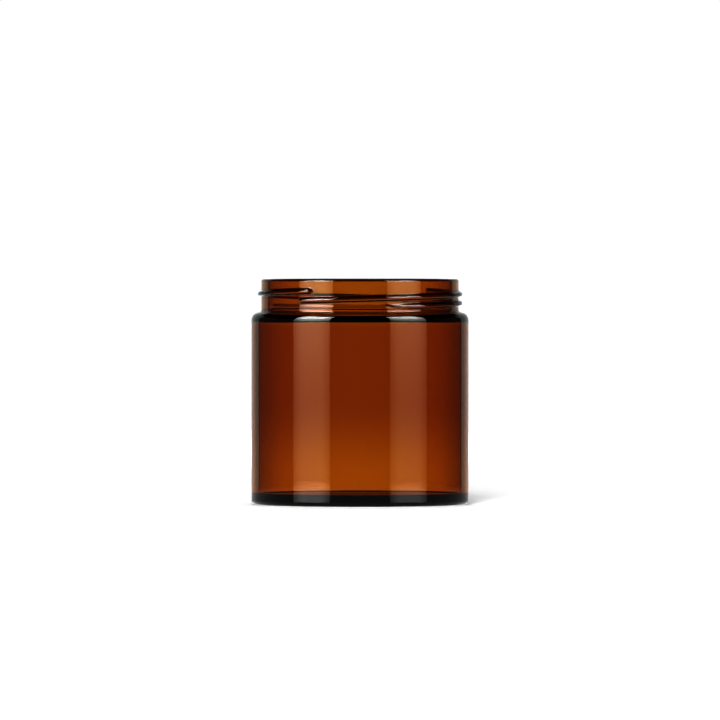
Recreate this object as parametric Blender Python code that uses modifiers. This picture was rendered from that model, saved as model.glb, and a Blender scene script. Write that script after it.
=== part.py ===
"""Cosmetic cream jar: one moulding of amber glass with a two-start screw finish.

The jar stands on the plane z = 0 with its axis on +Z, and its front looks along -Y.
Lengths are in metres. Angles are in degrees, and turn from the front (-Y) towards +X.
"""

import math

import bpy
import numpy

MM = 0.001

# Body
HEIGHT = 62.25 * MM
BODY_RADIUS = 30.0 * MM
BODY_WALL = 2.15 * MM
FLOOR_THICKNESS = 3.0 * MM
HEEL_ROUNDING = 1.1 * MM
INNER_HEEL_ROUNDING = 0.3 * MM

# The jar bears on a flat ring. Inside the ring the underside is pushed up a little.
BEARING_RING_INNER_RADIUS = 25.0 * MM
PUSH_UP_RADIUS = 23.0 * MM
PUSH_UP_DEPTH = 0.5 * MM

# Shoulder. Inside, a cone leads from the body up to the throat.
SHOULDER_HEIGHT = 53.1 * MM
SHOULDER_ROUNDING = 2.2 * MM
INNER_SHOULDER_HEIGHT = 50.5 * MM
INNER_SHOULDER_ROUNDING = 0.3 * MM
THROAT_HEIGHT = 52.5 * MM
THROAT_ROUNDING = 0.6 * MM

# Neck and rim
NECK_RADIUS = 27.27 * MM
NECK_WALL = 2.3 * MM
NECK_FILLET = 0.8 * MM
RIM_OUTER_ROUNDING = 0.6 * MM
RIM_INNER_ROUNDING = 0.5 * MM

# Thread: two right-hand ridges half a turn apart. In section each has a crest, knees, flanks and fillets.
THREAD_LEAD = 5.02 * MM
THREAD_PROJECTION = 1.0 * MM
THREAD_CREST_RADIUS = 1.1 * MM
THREAD_CREST_ANGLE = 18.0
THREAD_KNEE_RADIUS = 0.4 * MM
THREAD_FLANK_ANGLE = 72.0
THREAD_FILLET_RADIUS = 0.2 * MM
THREAD_HEIGHT_AT_RIGHT = 58.15 * MM
UPPER_RIDGE_ANGLES = (-35.5, 131.0)
LOWER_RIDGE_ANGLES = (12.0, 329.3)
LOWER_RIDGE_FADE_ANGLE = 32.0

# Facets
STEPS_AROUND = 72
LARGE_ROUND_STEPS = 6
SMALL_ROUND_STEPS = 3
NECK_ROW_SPACING = 0.3 * MM
MERGE_DISTANCE = 0.00001
SHARP_ANGLE = 35.0

# Glass
GLASS_COLOUR = (0.16, 0.035, 0.002, 1.0)
GLASS_IOR = 1.52
GLASS_ROUGHNESS = 0.03
GLASS_CLEARNESS = 0.8

BODY_BORE_RADIUS = BODY_RADIUS - BODY_WALL
NECK_BORE_RADIUS = NECK_RADIUS - NECK_WALL


def clear_scene():
    """Remove what a new file starts with."""
    for item in list(bpy.data.objects):
        bpy.data.objects.remove(item, do_unlink=True)


def arc(radius_at, height_at, rounding, start, end, segments):
    """Points (radius, height) of a round stretch about a centre, from start to end degrees."""
    points = []
    for i in range(segments + 1):
        angle = math.radians(start + (end - start) * i / segments)
        points.append((radius_at + rounding * math.cos(angle), height_at + rounding * math.sin(angle)))
    return points


def inside_profile():
    """The hollow, from the middle of the floor up to the land on top of the rim."""
    heel = INNER_HEEL_ROUNDING
    corner = INNER_SHOULDER_ROUNDING
    throat = THROAT_ROUNDING
    rim = RIM_INNER_ROUNDING
    rise = THROAT_HEIGHT - INNER_SHOULDER_HEIGHT
    slope = math.degrees(math.atan2(rise, BODY_BORE_RADIUS - NECK_BORE_RADIUS))
    ease = math.tan(math.radians(90 - slope) / 2)
    corner_height = INNER_SHOULDER_HEIGHT - corner * ease
    throat_height = THROAT_HEIGHT + throat * ease
    steps = SMALL_ROUND_STEPS
    points = [(0.0, FLOOR_THICKNESS)]
    points += arc(BODY_BORE_RADIUS - heel, FLOOR_THICKNESS + heel, heel, -90, 0, steps)
    points += arc(BODY_BORE_RADIUS - corner, corner_height, corner, 0, 90 - slope, steps)
    points += arc(NECK_BORE_RADIUS + throat, throat_height, throat, -90 - slope, -180, steps)
    points += arc(NECK_BORE_RADIUS + rim, HEIGHT - rim, rim, 180, 90, steps)
    return points


def neck_rows(top, bottom):
    """Evenly spaced rows down the straight outside of the neck, for the thread to stand on."""
    count = math.ceil((top - bottom) / NECK_ROW_SPACING)
    return [(NECK_RADIUS, top + (bottom - top) * i / count) for i in range(1, count)]


def outside_profile():
    """The outer surface, from the land on the rim down to the middle of the underside."""
    rim = RIM_OUTER_ROUNDING
    fillet = NECK_FILLET
    shoulder = SHOULDER_ROUNDING
    heel = HEEL_ROUNDING
    fillet_height = SHOULDER_HEIGHT + fillet
    points = arc(NECK_RADIUS - rim, HEIGHT - rim, rim, 90, 0, SMALL_ROUND_STEPS)
    points += neck_rows(HEIGHT - rim, fillet_height)
    points += arc(NECK_RADIUS + fillet, fillet_height, fillet, 180, 270, SMALL_ROUND_STEPS)
    points += arc(BODY_RADIUS - shoulder, SHOULDER_HEIGHT - shoulder, shoulder, 90, 0, LARGE_ROUND_STEPS)
    points += arc(BODY_RADIUS - heel, heel, heel, 0, -90, SMALL_ROUND_STEPS)
    points += [(BEARING_RING_INNER_RADIUS, 0.0), (PUSH_UP_RADIUS, PUSH_UP_DEPTH), (0.0, PUSH_UP_DEPTH)]
    return points


def turned_mesh(name, profile):
    """Turn a profile of (radius, height) points about the Z axis and return the finished mesh."""
    outline = bpy.data.meshes.new(name + "_outline")
    points = [(radius, 0.0, height) for radius, height in profile]
    outline.from_pydata(points, [(i, i + 1) for i in range(len(points) - 1)], [])
    turned = bpy.data.objects.new(name + "_outline", outline)
    bpy.context.scene.collection.objects.link(turned)

    screw = turned.modifiers.new("Turn", "SCREW")
    screw.axis = "Z"
    screw.angle = math.tau
    screw.steps = STEPS_AROUND
    screw.render_steps = STEPS_AROUND
    screw.use_merge_vertices = True
    screw.merge_threshold = MERGE_DISTANCE

    evaluated = turned.evaluated_get(bpy.context.evaluated_depsgraph_get())
    mesh = bpy.data.meshes.new_from_object(evaluated)
    mesh.name = name
    bpy.data.objects.remove(turned)
    bpy.data.meshes.remove(outline)
    return mesh


def rib_section():
    """Half the section of a thread ridge, from its crest to the neck, as (offset, height) points."""
    steps = SMALL_ROUND_STEPS
    crest_radius = THREAD_CREST_RADIUS
    knee_radius = THREAD_KNEE_RADIUS
    fillet = THREAD_FILLET_RADIUS
    crest_end = 90 - THREAD_CREST_ANGLE
    crest = arc(0.0, THREAD_PROJECTION - crest_radius, crest_radius, 90, crest_end, steps)
    across, up = crest[-1]
    across -= knee_radius * math.cos(math.radians(crest_end))
    up -= knee_radius * math.sin(math.radians(crest_end))
    knee = arc(across, up, knee_radius, crest_end, 90 - THREAD_FLANK_ANGLE, steps)
    across, up = knee[-1]
    flank = math.radians(THREAD_FLANK_ANGLE)
    drop = up - fillet * (1 - math.cos(flank))
    foot = across + drop / math.tan(flank) + fillet * math.sin(flank)
    return crest + knee[1:] + arc(foot, fillet, fillet, 270 - THREAD_FLANK_ANGLE, 270, steps)


RIB_OFFSETS, RIB_HEIGHTS = zip(*rib_section())


def ridge_height(angle, height, ridge_angles, height_at_right):
    """How far one thread ridge stands out at a place on the neck, with rounded ends."""
    start, end = ridge_angles
    turns = math.floor((angle - start) / 360 + 0.5 - (end - start) / 720)
    angle -= 360 * turns
    along = min(max(angle, start), end)
    past_end = math.radians(angle - along) * NECK_RADIUS
    crest = height_at_right + THREAD_LEAD * (along - 90) / 360
    return numpy.interp(math.hypot(past_end, height - crest), RIB_OFFSETS, RIB_HEIGHTS)


def thread_height(angle, height):
    """How far the thread stands out of the neck at an angle and a height."""
    upper = ridge_height(angle, height, UPPER_RIDGE_ANGLES, THREAD_HEIGHT_AT_RIGHT)
    lower = ridge_height(angle, height, LOWER_RIDGE_ANGLES, THREAD_HEIGHT_AT_RIGHT - THREAD_LEAD / 2)
    fade = min(max((angle % 360 - LOWER_RIDGE_ANGLES[0]) / LOWER_RIDGE_FADE_ANGLE, 0), 1)
    return max(upper, lower * fade * fade * (3 - 2 * fade))


def raise_thread(mesh):
    """Move the outside of the neck out along its radius, where the thread runs."""
    lowest = SHOULDER_HEIGHT + MERGE_DISTANCE
    highest = HEIGHT - RIM_OUTER_ROUNDING
    for vertex in mesh.vertices:
        x, y, z = vertex.co
        radius = math.hypot(x, y)
        outside = NECK_RADIUS - MERGE_DISTANCE < radius < NECK_RADIUS + NECK_FILLET
        if not (outside and lowest < z < highest):
            continue
        angle = math.degrees(math.atan2(x, -y))
        stretch = max(1.0, (NECK_RADIUS + thread_height(angle, z)) / radius)
        vertex.co.x = x * stretch
        vertex.co.y = y * stretch


def amber_glass():
    """Clear brown-orange glass with a fire-polished surface."""
    material = bpy.data.materials.new("amber_glass")
    material.use_nodes = True
    shader = material.node_tree.nodes["Principled BSDF"]
    shader.inputs["Base Color"].default_value = GLASS_COLOUR
    shader.inputs["Roughness"].default_value = GLASS_ROUGHNESS
    shader.inputs["Metallic"].default_value = 0.0
    shader.inputs["IOR"].default_value = GLASS_IOR
    shader.inputs["Transmission Weight"].default_value = GLASS_CLEARNESS
    material.diffuse_color = GLASS_COLOUR
    return material


def glass_jar(collection):
    """The whole jar: floor, wall, shoulder, neck, thread and rim in one piece of glass."""
    mesh = turned_mesh("glass_jar", inside_profile() + outside_profile())
    raise_thread(mesh)
    mesh.materials.append(amber_glass())
    mesh.shade_smooth()
    mesh.set_sharp_from_angle(angle=math.radians(SHARP_ANGLE))
    jar = bpy.data.objects.new("glass_jar", mesh)
    collection.objects.link(jar)


def main():
    clear_scene()
    collection = bpy.data.collections.new("cream_jar")
    bpy.context.scene.collection.children.link(collection)
    glass_jar(collection)


main()
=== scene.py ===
"""An amber glass cream jar on a white studio floor.

The jar stands at the origin, its axis on +Z, and its front looks along -Y. Lengths are in metres.
Angles are in degrees, and turn from the front (-Y) towards +X. Light levels are relative to white paper.
"""

import math

import bpy
import numpy
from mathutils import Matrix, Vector


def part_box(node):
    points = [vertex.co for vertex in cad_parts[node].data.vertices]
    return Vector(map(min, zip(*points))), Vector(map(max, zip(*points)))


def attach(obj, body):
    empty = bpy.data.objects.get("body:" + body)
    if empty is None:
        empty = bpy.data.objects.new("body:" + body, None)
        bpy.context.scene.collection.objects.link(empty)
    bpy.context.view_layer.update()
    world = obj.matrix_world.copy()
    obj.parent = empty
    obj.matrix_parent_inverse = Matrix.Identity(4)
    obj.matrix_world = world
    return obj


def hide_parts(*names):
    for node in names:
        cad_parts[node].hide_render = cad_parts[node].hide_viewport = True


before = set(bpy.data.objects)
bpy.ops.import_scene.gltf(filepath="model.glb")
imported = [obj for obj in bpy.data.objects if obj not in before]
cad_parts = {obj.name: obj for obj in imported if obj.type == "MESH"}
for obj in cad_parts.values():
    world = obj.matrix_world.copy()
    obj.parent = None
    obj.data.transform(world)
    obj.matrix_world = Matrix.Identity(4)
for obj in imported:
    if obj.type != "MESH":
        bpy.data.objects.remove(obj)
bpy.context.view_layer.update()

MM = 0.001
GLASS_NODE = "glass_jar"

# Driving sizes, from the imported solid
LOWEST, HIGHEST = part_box(GLASS_NODE)
HEIGHT = HIGHEST.z - LOWEST.z
BODY_RADIUS = (HIGHEST.x - LOWEST.x) / 2

# Body
BODY_WALL = 2.15 * MM
FLOOR_THICKNESS = 3.0 * MM
HEEL_ROUNDING = 1.1 * MM
INNER_HEEL_ROUNDING = 0.3 * MM
BEARING_RING_INNER_RADIUS = 25.0 * MM
PUSH_UP_RADIUS = 23.0 * MM
PUSH_UP_DEPTH = 0.5 * MM

# Shoulder
SHOULDER_HEIGHT = HEIGHT - 9.15 * MM
SHOULDER_ROUNDING = 2.2 * MM
INNER_SHOULDER_HEIGHT = SHOULDER_HEIGHT - 2.6 * MM
THROAT_HEIGHT = SHOULDER_HEIGHT - 0.6 * MM
INNER_SHOULDER_ROUNDING = 0.3 * MM
THROAT_ROUNDING = 0.6 * MM

# Neck and rim
NECK_RADIUS = BODY_RADIUS - 2.73 * MM
NECK_WALL = 2.3 * MM
NECK_FILLET = 0.8 * MM
RIM_OUTER_ROUNDING = 0.6 * MM
RIM_INNER_ROUNDING = 0.5 * MM

# Thread: two right-hand ridges. Each side of the section is a run of round stretches away from the
# crest, as (radius, tilt at its end), and then a straight flank and a fillet.
THREAD_LEAD = 5.02 * MM
THREAD_PROJECTION = 1.0 * MM
THREAD_UPPER_SIDE = ((0.7 * MM, 12.0), (1.2 * MM, 30.0), (0.3 * MM, 62.0))
THREAD_LOWER_SIDE = ((0.7 * MM, 20.0), (0.35 * MM, 75.0))
THREAD_FILLET_RADIUS = 0.2 * MM
THREAD_HEIGHT_AT_RIGHT = HEIGHT - 4.2 * MM
UPPER_RIDGE_ANGLES = (-35.5, 131.0)
LOWER_RIDGE_ANGLES = (12.0, 329.3)
LOWER_RIDGE_FADE_ANGLE = 32.0

# In front, the foot of the neck stands out by a low pad, which sinks a little towards the right.
# Its upper edge is soft, and further down it flares out.
PAD_TOP = HEIGHT - 6.95 * MM
PAD_PROJECTION = 0.14 * MM
PAD_EDGE_HEIGHT = 0.8 * MM
PAD_FLARE = 0.2 * MM
PAD_FLARE_START = 1.1 * MM
PAD_FLARE_END = 2.3 * MM
PAD_FALL_PER_TURN = 1.9 * MM
PAD_HALF_ANGLE = 66.0
PAD_FADE_ANGLE = 12.0

# Facets
STEPS_AROUND = 400
SHOULDER_ROUND_STEPS = 24
HEEL_ROUND_STEPS = 16
RIM_ROUND_STEPS = 12
SMALL_ROUND_STEPS = 8
SUPPORT_GAP = 0.03 * MM
LONG_STRETCH = 0.5 * MM
NECK_ROW_SPACING = 0.07 * MM
MERGE_DISTANCE = 0.000005

# Glass. The absorption is of red, green and blue light, and the noise is in patches to a metre.
GLASS_IOR = 1.52
ABSORBED_PER_METRE = (175.0, 461.0, 1400.0)
HAZE_PER_METRE = (160.0, 160.0, 160.0)
HAZE_DETAIL = 2.0
HAZE_RANGE = (0.35, 0.7)
GLASS_ROUGHNESS = (0.0, 0.006)
WAVES_PER_METRE = (130.0, 130.0, 260.0)
WAVE_DETAIL = 0.0
WAVE_DEPTH = 0.0008 * MM

# Camera
CAMERA_DISTANCE = 3.2
CAMERA_HEIGHT = 0.075
CAMERA_AIM_HEIGHT = 0.0399
LENS = 579.0
SENSOR = 36.0
FAR_CLIP = 60.0

# Studio light all round. A pair of angles is the start and the end of a smooth change. Four angles
# are a band: it begins between the first two and ends between the last two.
WHITE = 1.03
LEFT_TO_RIGHT = (-0.2, 0.2)

# Backdrop behind the jar
BACKDROP_LIGHT = 1.0
BACKDROP_SIDE_EDGE = (42.0, 44.0)
BACKDROP_TOP_EDGE = (20.0, 28.0)
BACKDROP_MIDDLE_EDGE = (22.0, 26.0)
BACKDROP_SIDE_SHARE = 0.5
BACKDROP_MIRRORED = (0.88, 1.07, 1.02, 1.0)
MIRRORED_TINT_EDGE = (14.0, 26.0)
NECK_BAND = (-0.47, -0.40, 0.5, 1.0)
NECK_GLOW = (1.37, 2.12, 2.0, 1.0)
HEEL_EDGE = (-1.22, -0.83)
HEEL_GLOW = (1.37, 1.89, 1.9, 1.0)
SEAM_BAND = (1.10, 1.15, 1.40, 1.45)
SEAM_SIDE_EDGE = (0.5, 4.0)
SEAM_LIGHTS = (0.4, 0.65)

# Dim room at both sides and overhead
DIM_LIGHT_LEFT = 0.3
DIM_LIGHT_RIGHT = 0.22
SKY_EDGE = (20.0, 24.0)
SKY_SHARE = 0.1
FAR_SIDES_EDGE = (62.0, 72.0)
FAR_SIDES_BAND = (-14.0, -9.0, 0.0, 3.0)
FAR_SIDES_LIGHT = 0.8

# Table
TABLE_HORIZON = (-1.3, -1.25)
TABLE_FAR_LIGHT = 1.0
TABLE_MIRRORED_EDGE = (-6.0, -3.0)
TABLE_MIRRORED_LIGHT = 1.4
TABLE_SHOWN_EDGE = (-12.0, -4.0)
TABLE_SHADE_SIDE_EDGE = (34.0, 42.0)
TABLE_SHADE_LOW_EDGE = (-40.0, -31.0)
TABLE_SHADE_LIGHT = 0.15
TABLE_SHOWN_LIGHT = 1.0

# Tall softboxes at both sides of the front
SOFTBOX_TINT = (1.0, 1.12, 1.03, 1.0)
SOFTBOX_TINT_BAND = (-1.28, -1.22, 3.0, 8.0)
SOFTBOX_SIDES = (31.3, 32.7, 74.8, 76.2)
SOFTBOX_CORE = (28.0, 46.0, 60.0, 80.0)
SOFTBOX_RIM_SHARE = 0.55
SOFTBOX_TOP_EDGE = (53.0, 63.0)
SOFTBOX_BACK_EDGE = (90.0, 95.0)
SOFTBOX_LOW_LIGHT = 3.6
SOFTBOX_MIDDLE_LIGHT = 7.5
SOFTBOX_MIDDLE_EDGE = (0.0, 6.0)
SOFTBOX_HIGH_LIGHT = 14.0
SOFTBOX_HIGH_EDGE = (18.0, 32.0)
SOFTBOX_RIGHT_SHARE = 0.78
SOFTBOX_BODY_EDGE = (-0.85, -0.2)
SOFTBOX_BODY_SHARES = (0.86, 1.42)
SOFTBOX_HEEL_EDGE = (-1.28, -1.22)
SOFTBOX_HEEL_SHARE = 1.9

# Floor, and the lamps that light it. Sizes of lamps are width and length.
FLOOR_SIZE = 12.0
FLOOR_WHITENESS = 0.8
FLOOR_ROUGHNESS = 0.9
# Painted fill light: the floor's own faint glow near the jar, which lightens the jar's shadow.
FLOOR_GLOW = 0.206
GLOW_START = 0.3
GLOW_MIDDLE = 0.9
GLOW_END = 1.5
LIGHT_DISTANCE = 6.0
KEY_SIZE = (0.96, 3.8)
KEY_AZIMUTH = -4.4
KEY_ELEVATION = 18.4
KEY_POWER = 485.0
OVERHEAD_SIZE = (3.87, 13.4)
OVERHEAD_AZIMUTH = 180.0
OVERHEAD_ELEVATION = 87.8
OVERHEAD_POWER = 435.0

LIGHT_BOUNCES = 24

BODY_BORE_RADIUS = BODY_RADIUS - BODY_WALL
NECK_BORE_RADIUS = NECK_RADIUS - NECK_WALL


# ---------------------------------------------------------------- shape


def arc(radius_at, height_at, rounding, start, end, segments):
    """Points (radius, height) of a round stretch about a centre, from start to end degrees."""
    points = []
    for i in range(segments + 1):
        angle = math.radians(start + (end - start) * i / segments)
        points.append((radius_at + rounding * math.cos(angle), height_at + rounding * math.sin(angle)))
    return points


def inside_profile():
    """The hollow, from the middle of the floor up to the land on top of the rim."""
    floor = FLOOR_THICKNESS
    heel = INNER_HEEL_ROUNDING
    corner = INNER_SHOULDER_ROUNDING
    throat = THROAT_ROUNDING
    rim = RIM_INNER_ROUNDING
    rise = THROAT_HEIGHT - INNER_SHOULDER_HEIGHT
    slope = math.degrees(math.atan2(rise, BODY_BORE_RADIUS - NECK_BORE_RADIUS))
    ease = math.tan(math.radians(90 - slope) / 2)
    corner_height = INNER_SHOULDER_HEIGHT - corner * ease
    throat_height = THROAT_HEIGHT + throat * ease
    points = [(0.0, floor)]
    points += arc(BODY_BORE_RADIUS - heel, floor + heel, heel, -90, 0, HEEL_ROUND_STEPS)
    points += arc(BODY_BORE_RADIUS - corner, corner_height, corner, 0, 90 - slope, SMALL_ROUND_STEPS)
    points += arc(NECK_BORE_RADIUS + throat, throat_height, throat, -90 - slope, -180, SMALL_ROUND_STEPS)
    points += arc(NECK_BORE_RADIUS + rim, HEIGHT - rim, rim, 180, 90, RIM_ROUND_STEPS)
    return points


def neck_rows(top, bottom):
    """Evenly spaced rows down the straight outside of the neck, for the thread to stand on."""
    count = math.ceil((top - bottom) / NECK_ROW_SPACING)
    return [(NECK_RADIUS, top + (bottom - top) * i / count) for i in range(1, count)]


def outside_profile():
    """The outer surface, from the land on the rim down to the middle of the underside."""
    rim = RIM_OUTER_ROUNDING
    fillet = NECK_FILLET
    shoulder = SHOULDER_ROUNDING
    heel = HEEL_ROUNDING
    fillet_height = SHOULDER_HEIGHT + fillet
    points = arc(NECK_RADIUS - rim, HEIGHT - rim, rim, 90, 0, RIM_ROUND_STEPS)
    points += neck_rows(HEIGHT - rim, fillet_height)
    points += arc(NECK_RADIUS + fillet, fillet_height, fillet, 180, 270, SMALL_ROUND_STEPS)
    points += arc(
        BODY_RADIUS - shoulder, SHOULDER_HEIGHT - shoulder, shoulder, 90, 0, SHOULDER_ROUND_STEPS)
    points += arc(BODY_RADIUS - heel, heel, heel, 0, -90, HEEL_ROUND_STEPS)
    points += [(BEARING_RING_INNER_RADIUS, 0.0), (PUSH_UP_RADIUS, PUSH_UP_DEPTH), (0.0, PUSH_UP_DEPTH)]
    return points


def supported(profile):
    """Add a point just inside both ends of each long stretch, so that shading stays flat between."""
    points = [profile[0]]
    for start, end in zip(profile, profile[1:]):
        length = math.dist(start, end)
        if length > LONG_STRETCH:
            for share in (SUPPORT_GAP / length, 1 - SUPPORT_GAP / length):
                points.append(tuple(a + (b - a) * share for a, b in zip(start, end)))
        points.append(end)
    return points


def turned_mesh(name, profile):
    """Turn a profile of (radius, height) points about the Z axis and return the finished mesh."""
    outline = bpy.data.meshes.new(name + "_outline")
    points = [(radius, 0.0, height) for radius, height in profile]
    outline.from_pydata(points, [(i, i + 1) for i in range(len(points) - 1)], [])
    turned = bpy.data.objects.new(name + "_outline", outline)
    bpy.context.scene.collection.objects.link(turned)

    screw = turned.modifiers.new("Turn", "SCREW")
    screw.axis = "Z"
    screw.angle = math.tau
    screw.steps = STEPS_AROUND
    screw.render_steps = STEPS_AROUND
    screw.use_merge_vertices = True
    screw.merge_threshold = MERGE_DISTANCE

    evaluated = turned.evaluated_get(bpy.context.evaluated_depsgraph_get())
    mesh = bpy.data.meshes.new_from_object(evaluated)
    mesh.name = name
    bpy.data.objects.remove(turned)
    bpy.data.meshes.remove(outline)
    return mesh


def rib_side(stretches):
    """One side of a ridge's section, from its crest to the neck, as offsets and heights."""
    across = 0.0
    up = THREAD_PROJECTION
    tilt = 0.0
    points = [(across, up)]
    for radius, end_tilt in stretches:
        turn = arc(0.0, 0.0, radius, 90 - tilt, 90 - end_tilt, SMALL_ROUND_STEPS)
        points += [(across + u - turn[0][0], up + v - turn[0][1]) for u, v in turn[1:]]
        across, up = points[-1]
        tilt = end_tilt
    flank = math.radians(tilt)
    fillet = THREAD_FILLET_RADIUS
    drop = up - fillet * (1 - math.cos(flank))
    foot = across + drop / math.tan(flank) + fillet * math.sin(flank)
    points += arc(foot, fillet, fillet, 270 - tilt, 270, SMALL_ROUND_STEPS)
    return zip(*points)


UPPER_OFFSETS, UPPER_HEIGHTS = rib_side(THREAD_UPPER_SIDE)
LOWER_OFFSETS, LOWER_HEIGHTS = rib_side(THREAD_LOWER_SIDE)


def ridge_height(angle, height, ridge_angles, height_at_right):
    """How far one thread ridge stands out at a place on the neck, with rounded ends."""
    start, end = ridge_angles
    turns = math.floor((angle - start) / 360 + 0.5 - (end - start) / 720)
    angle -= 360 * turns
    along = min(max(angle, start), end)
    past_end = math.radians(angle - along) * NECK_RADIUS
    above = height - height_at_right - THREAD_LEAD * (along - 90) / 360
    distance = math.hypot(past_end, above)
    if distance > UPPER_OFFSETS[-1]:
        return 0.0
    upper_share = 0.5 + 0.5 * above / max(distance, MERGE_DISTANCE)
    upper = numpy.interp(distance, UPPER_OFFSETS, UPPER_HEIGHTS)
    lower = numpy.interp(distance, LOWER_OFFSETS, LOWER_HEIGHTS)
    return upper * upper_share + lower * (1 - upper_share)


def smooth(value, start, end):
    """A smooth rise from 0 to 1, as value goes from start to end."""
    share = min(max((value - start) / (end - start), 0), 1)
    return share * share * (3 - 2 * share)


def pad_height(angle, height):
    """How far the pad at the foot of the neck stands out."""
    depth = PAD_TOP - PAD_FALL_PER_TURN * angle / 360 - height
    flare = max(depth - PAD_FLARE_START, 0) / (PAD_FLARE_END - PAD_FLARE_START)
    fade = smooth(abs(angle), PAD_HALF_ANGLE, PAD_HALF_ANGLE - PAD_FADE_ANGLE)
    return fade * (PAD_PROJECTION * smooth(depth, 0, PAD_EDGE_HEIGHT) + PAD_FLARE * flare * flare)


def thread_height(angle, height):
    """How far the thread and the pad stand out of the neck at an angle and a height."""
    upper = ridge_height(angle, height, UPPER_RIDGE_ANGLES, THREAD_HEIGHT_AT_RIGHT)
    lower = ridge_height(angle, height, LOWER_RIDGE_ANGLES, THREAD_HEIGHT_AT_RIGHT - THREAD_LEAD / 2)
    start = LOWER_RIDGE_ANGLES[0]
    lower *= smooth(angle % 360, start, start + LOWER_RIDGE_FADE_ANGLE)
    return max(upper, lower, pad_height(angle, height))


def raise_thread(mesh):
    """Move the outside of the neck out along its radius, where the thread runs."""
    lowest = SHOULDER_HEIGHT + MERGE_DISTANCE
    highest = HEIGHT - RIM_OUTER_ROUNDING
    for vertex in mesh.vertices:
        x, y, z = vertex.co
        radius = math.hypot(x, y)
        outside = NECK_RADIUS - MERGE_DISTANCE < radius < NECK_RADIUS + NECK_FILLET
        if not (outside and lowest < z < highest):
            continue
        angle = math.degrees(math.atan2(x, -y))
        stretch = max(1.0, (NECK_RADIUS + thread_height(angle, z)) / radius)
        vertex.co.x = x * stretch
        vertex.co.y = y * stretch


# ---------------------------------------------------------------- shader trees


class Graph:
    """Short ways to add nodes to a shader tree."""

    def __init__(self, tree):
        self.tree = tree

    def node(self, kind, **settings):
        """Add a node."""
        made = self.tree.nodes.new(kind)
        for name, value in settings.items():
            setattr(made, name, value)
        return made

    def put(self, socket, value):
        """Link a socket to another one, or set it to a plain value."""
        if isinstance(value, bpy.types.NodeSocket):
            self.tree.links.new(value, socket)
        else:
            socket.default_value = value

    def compute(self, operation, first, second=0.0):
        """Add a sum on one or two numbers."""
        made = self.node("ShaderNodeMath", operation=operation)
        self.put(made.inputs[0], first)
        self.put(made.inputs[1], second)
        return made.outputs[0]

    def product(self, *factors):
        """All factors multiplied together."""
        result = factors[0]
        for factor in factors[1:]:
            result = self.compute("MULTIPLY", result, factor)
        return result

    def degrees(self, radians):
        """An angle in degrees."""
        return self.compute("MULTIPLY", radians, math.degrees(1))

    def ramp(self, value, edge, before, after):
        """A smooth change from before to after, as value crosses an edge."""
        made = self.node("ShaderNodeMapRange", interpolation_type="SMOOTHSTEP")
        for i, number in enumerate((value, *edge, before, after)):
            self.put(made.inputs[i], number)
        return made.outputs[0]

    def band(self, value, limits):
        """1 where value is inside a band and 0 outside it."""
        return self.product(self.ramp(value, limits[:2], 0, 1), self.ramp(value, limits[2:], 1, 0))

    def mix(self, share, first, second):
        """Colour first where share is 0, and second where it is 1."""
        made = self.node("ShaderNodeMix", data_type="RGBA")
        self.put(made.inputs[0], share)
        self.put(made.inputs[6], first)
        self.put(made.inputs[7], second)
        return made.outputs[2]

    def tinted(self, colour, level):
        """A colour multiplied by a light level."""
        made = self.mix(1.0, colour, level)
        made.node.blend_type = "MULTIPLY"
        return made


def grey(level):
    """A neutral colour."""
    return (level, level, level, 1.0)


# ---------------------------------------------------------------- glass


def noise(graph, place, scale, detail):
    """Soft noise, in a space that is stretched by a scale along each axis."""
    stretched = graph.node("ShaderNodeVectorMath", operation="MULTIPLY")
    graph.put(stretched.inputs[0], place)
    graph.put(stretched.inputs[1], scale)
    made = graph.node("ShaderNodeTexNoise")
    graph.put(made.inputs["Vector"], stretched.outputs["Vector"])
    graph.put(made.inputs["Scale"], 1.0)
    graph.put(made.inputs["Detail"], detail)
    return made.outputs["Fac"]


def moulded_surface(graph, shader):
    """The moulding leaves the surface faintly wavy, with a faint haze in places."""
    place = graph.node("ShaderNodeTexCoord").outputs["Object"]
    haze = noise(graph, place, HAZE_PER_METRE, HAZE_DETAIL)
    graph.put(shader.inputs["Roughness"], graph.ramp(haze, HAZE_RANGE, *GLASS_ROUGHNESS))

    bump = graph.node("ShaderNodeBump")
    graph.put(bump.inputs["Strength"], 1.0)
    graph.put(bump.inputs["Distance"], WAVE_DEPTH)
    graph.put(bump.inputs["Height"], noise(graph, place, WAVES_PER_METRE, WAVE_DETAIL))
    graph.put(shader.inputs["Normal"], bump.outputs["Normal"])


def amber_depth(graph):
    """Brown colour that deepens with the way that light goes through the glass."""
    depth = graph.node("ShaderNodeVolumeAbsorption")
    density = max(ABSORBED_PER_METRE)
    kept = [1 - absorbed / density for absorbed in ABSORBED_PER_METRE]
    graph.put(depth.inputs["Color"], (*kept, 1.0))
    graph.put(depth.inputs["Density"], density)
    return depth.outputs["Volume"]


def amber_glass():
    """Clear brown amber glass: the surface is colourless, and the depth of glass gives the colour."""
    material = bpy.data.materials.new("amber_glass")
    material.use_nodes = True
    graph = Graph(material.node_tree)
    shader = material.node_tree.nodes["Principled BSDF"]
    output = material.node_tree.nodes["Material Output"]
    graph.put(shader.inputs["Base Color"], grey(1.0))
    graph.put(shader.inputs["IOR"], GLASS_IOR)
    graph.put(shader.inputs["Transmission Weight"], 1.0)
    moulded_surface(graph, shader)
    graph.put(output.inputs["Volume"], amber_depth(graph))
    return material


def glass_jar():
    """The whole jar, in one piece of glass."""
    mesh = turned_mesh("jar_glass", supported(inside_profile() + outside_profile()))
    raise_thread(mesh)
    mesh.materials.append(amber_glass())
    mesh.shade_smooth()
    jar = bpy.data.objects.new("jar_glass", mesh)
    bpy.context.scene.collection.objects.link(jar)
    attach(jar, "root")
    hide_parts(GLASS_NODE)


# ---------------------------------------------------------------- studio


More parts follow.
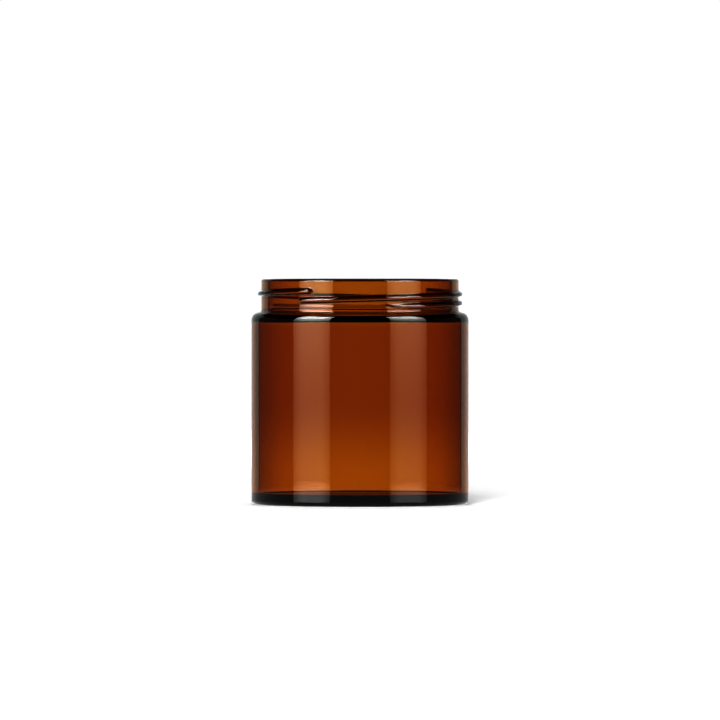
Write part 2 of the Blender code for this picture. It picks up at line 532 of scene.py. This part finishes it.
class Surroundings(Graph):
    """The world's shader tree, with the direction that light comes from."""

    def __init__(self, tree):
        super().__init__(tree)
        direction = self.node("ShaderNodeSeparateXYZ")
        self.put(direction.inputs[0], self.node("ShaderNodeTexCoord").outputs["Generated"])
        self.x, self.y, z = direction.outputs
        self.elevation = self.degrees(self.compute("ARCSINE", z))
        around = self.compute("ARCTAN2", self.x, self.compute("MULTIPLY", self.y, -1.0))
        self.from_front = self.degrees(self.compute("ABSOLUTE", around))
        self.from_back = self.compute("SUBTRACT", 180.0, self.from_front)


def backdrop_area(sky):
    """1 on the backdrop and 0 elsewhere."""
    side = sky.ramp(sky.from_back, BACKDROP_SIDE_EDGE, 1, 0)
    return sky.product(side, sky.ramp(sky.elevation, BACKDROP_TOP_EDGE, 1, 0))


def dim_room(sky):
    """Light from the room at both sides, which is darker overhead."""
    sides = sky.ramp(sky.x, LEFT_TO_RIGHT, DIM_LIGHT_LEFT, DIM_LIGHT_RIGHT)
    return sky.product(sides, sky.ramp(sky.elevation, SKY_EDGE, 1, SKY_SHARE))


def across_softbox(sky):
    """The angle across a softbox. The softboxes lean away a little towards their tops."""
    leaning = sky.compute("ARCTAN2", sky.compute("ABSOLUTE", sky.x), sky.compute("SUBTRACT", 1.0, sky.y))
    return sky.compute("ADD", sky.degrees(leaning), sky.compute("MULTIPLY", sky.from_front, 0.5))


def softbox_area(sky):
    """1 on the two tall softboxes and 0 elsewhere."""
    sides = sky.band(across_softbox(sky), SOFTBOX_SIDES)
    top = sky.ramp(sky.elevation, SOFTBOX_TOP_EDGE, 1, 0)
    return sky.product(sides, top, sky.ramp(sky.from_front, SOFTBOX_BACK_EDGE, 1, 0))


def softbox_light(sky):
    """Light of the softboxes: brighter towards the top, dimmer at the sides and on the right."""
    high = SOFTBOX_HIGH_LIGHT - SOFTBOX_MIDDLE_LIGHT
    level = sky.compute(
        "ADD", sky.ramp(sky.elevation, SOFTBOX_MIDDLE_EDGE, SOFTBOX_LOW_LIGHT, SOFTBOX_MIDDLE_LIGHT),
        sky.ramp(sky.elevation, SOFTBOX_HIGH_EDGE, 0, high))
    right = sky.ramp(sky.x, LEFT_TO_RIGHT, 1, SOFTBOX_RIGHT_SHARE)
    body = sky.ramp(sky.elevation, SOFTBOX_BODY_EDGE, *SOFTBOX_BODY_SHARES)
    heel = sky.ramp(sky.elevation, SOFTBOX_HEEL_EDGE, SOFTBOX_HEEL_SHARE, 1)
    core = sky.band(across_softbox(sky), SOFTBOX_CORE)
    core = sky.ramp(core, (0, 1), SOFTBOX_RIM_SHARE, 1)
    tint = sky.mix(sky.band(sky.elevation, SOFTBOX_TINT_BAND), grey(1.0), SOFTBOX_TINT)
    return sky.tinted(tint, sky.product(level, right, body, heel, core))


def mirrored_light(sky):
    """What the glass mirrors: backdrop, room, softboxes and table."""
    tint = sky.ramp(sky.from_back, MIRRORED_TINT_EDGE, 0, 1)
    light = sky.mix(tint, grey(BACKDROP_LIGHT), BACKDROP_MIRRORED)
    light = sky.mix(backdrop_area(sky), dim_room(sky), light)
    light = sky.mix(sky.ramp(sky.elevation, TABLE_HORIZON, 1, 0), light, grey(TABLE_FAR_LIGHT))
    light = sky.mix(softbox_area(sky), light, softbox_light(sky))
    near_table = sky.ramp(sky.elevation, TABLE_MIRRORED_EDGE, 1, 0)
    return sky.mix(near_table, light, grey(TABLE_MIRRORED_LIGHT))


def backdrop_shown(sky):
    """The backdrop through the glass, with its glow behind the neck and the heel."""
    tint = sky.mix(sky.band(sky.elevation, NECK_BAND), grey(1.0), NECK_GLOW)
    tint = sky.mix(sky.ramp(sky.elevation, HEEL_EDGE, 1, 0), tint, HEEL_GLOW)
    dimmer = BACKDROP_LIGHT * BACKDROP_SIDE_SHARE
    level = sky.ramp(sky.from_back, BACKDROP_MIDDLE_EDGE, BACKDROP_LIGHT, dimmer)
    return sky.tinted(tint, level)


def table_shown(sky):
    """The table through the glass. It is in shade behind the jar, and far below."""
    beside = sky.ramp(sky.from_back, TABLE_SHADE_SIDE_EDGE, 0, 1)
    lit = sky.product(beside, sky.ramp(sky.elevation, TABLE_SHADE_LOW_EDGE, 0, 1))
    return sky.mix(lit, grey(TABLE_SHADE_LIGHT), grey(TABLE_SHOWN_LIGHT))


def shown_light(sky):
    """What shows through the glass: backdrop, room and table."""
    far_sides = sky.product(
        sky.ramp(sky.from_back, FAR_SIDES_EDGE, 0, 1), sky.band(sky.elevation, FAR_SIDES_BAND))
    room = sky.mix(far_sides, dim_room(sky), grey(FAR_SIDES_LIGHT))
    light = sky.mix(backdrop_area(sky), room, backdrop_shown(sky))
    light = sky.mix(sky.ramp(sky.elevation, TABLE_SHOWN_EDGE, 1, 0), light, table_shown(sky))
    seam = sky.ramp(sky.from_back, SEAM_SIDE_EDGE, *SEAM_LIGHTS)
    return sky.mix(sky.band(sky.elevation, SEAM_BAND), light, seam)


def studio_world():
    """White backdrop behind the jar, dim sides, and a tall softbox at each side of the front."""
    world = bpy.data.worlds.new("studio")
    bpy.context.scene.world = world
    world.use_nodes = True
    world.cycles.sampling_method = "NONE"
    world.cycles_visibility.diffuse = False
    sky = Surroundings(world.node_tree)
    rays = sky.node("ShaderNodeLightPath")
    light = sky.mix(rays.outputs["Is Transmission Ray"], mirrored_light(sky), shown_light(sky))
    light = sky.mix(rays.outputs["Is Camera Ray"], light, grey(WHITE))
    sky.put(world.node_tree.nodes["Background"].inputs["Color"], light)


def studio_floor():
    """A white floor that glows as painted light: faintly near the jar, as painted fill light that
    lightens the jar's shadow, and fully away from it, so that it stays white beyond the lights' reach.
    """
    bpy.ops.mesh.primitive_plane_add(size=FLOOR_SIZE)
    floor = bpy.context.active_object
    floor.name = "studio_floor"
    material = bpy.data.materials.new("white_floor")
    material.use_nodes = True
    graph = Graph(material.node_tree)
    shader = material.node_tree.nodes["Principled BSDF"]
    shader.inputs["Roughness"].default_value = FLOOR_ROUGHNESS
    shader.inputs["Specular IOR Level"].default_value = 0.0
    shader.inputs["Emission Color"].default_value = grey(1.0)
    place = graph.node("ShaderNodeVectorMath", operation="LENGTH")
    graph.put(place.inputs[0], graph.node("ShaderNodeTexCoord").outputs["Object"])
    away = graph.ramp(place.outputs["Value"], (GLOW_START, GLOW_END), 0, 1)
    graph.put(shader.inputs["Base Color"], graph.mix(away, grey(FLOOR_WHITENESS), grey(0.0)))
    # Painted light: the glow rises from faint near the jar to full white away from it.
    glow = graph.ramp(place.outputs["Value"], (GLOW_START, GLOW_MIDDLE), FLOOR_GLOW, WHITE)
    graph.put(shader.inputs["Emission Strength"], glow)
    floor.data.materials.append(material)
    floor.visible_glossy = False
    floor.visible_transmission = False


def aim(thing, target):
    """Turn a camera or lamp at a point."""
    thing.rotation_euler = (Vector(target) - thing.location).to_track_quat("-Z", "Y").to_euler()


def floor_lamp(name, size, power, azimuth, elevation):
    """A soft light that faces the jar, and that only the floor sees."""
    data = bpy.data.lights.new(name, "AREA")
    data.shape = "RECTANGLE"
    data.size, data.size_y = size
    data.energy = power
    lamp = bpy.data.objects.new(name, data)
    bpy.context.scene.collection.objects.link(lamp)
    azimuth = math.radians(azimuth)
    elevation = math.radians(elevation)
    lamp.location = Vector((
        math.sin(azimuth) * math.cos(elevation),
        -math.cos(azimuth) * math.cos(elevation),
        math.sin(elevation),
    )) * LIGHT_DISTANCE
    aim(lamp, (0, 0, 0))
    lamp.visible_camera = False
    lamp.visible_glossy = False
    lamp.visible_transmission = False


def studio_camera():
    """A long lens a little above the rim."""
    data = bpy.data.cameras.new("camera")
    data.lens = LENS
    data.sensor_width = SENSOR
    data.clip_end = FAR_CLIP
    camera = bpy.data.objects.new("camera", data)
    bpy.context.scene.collection.objects.link(camera)
    camera.location = (0.0, -CAMERA_DISTANCE, CAMERA_HEIGHT)
    aim(camera, (0.0, 0.0, CAMERA_AIM_HEIGHT))
    bpy.context.scene.camera = camera


def main():
    """Set the picture's levels and light paths, and build everything."""
    scene = bpy.context.scene
    scene.view_settings.view_transform = "Raw"
    scene.cycles.max_bounces = LIGHT_BOUNCES
    scene.cycles.transmission_bounces = LIGHT_BOUNCES
    scene.cycles.glossy_bounces = LIGHT_BOUNCES
    studio_camera()
    glass_jar()
    studio_world()
    studio_floor()
    floor_lamp("key", KEY_SIZE, KEY_POWER, KEY_AZIMUTH, KEY_ELEVATION)
    floor_lamp("overhead", OVERHEAD_SIZE, OVERHEAD_POWER, OVERHEAD_AZIMUTH, OVERHEAD_ELEVATION)


main()
bpy.context.view_layer.update()
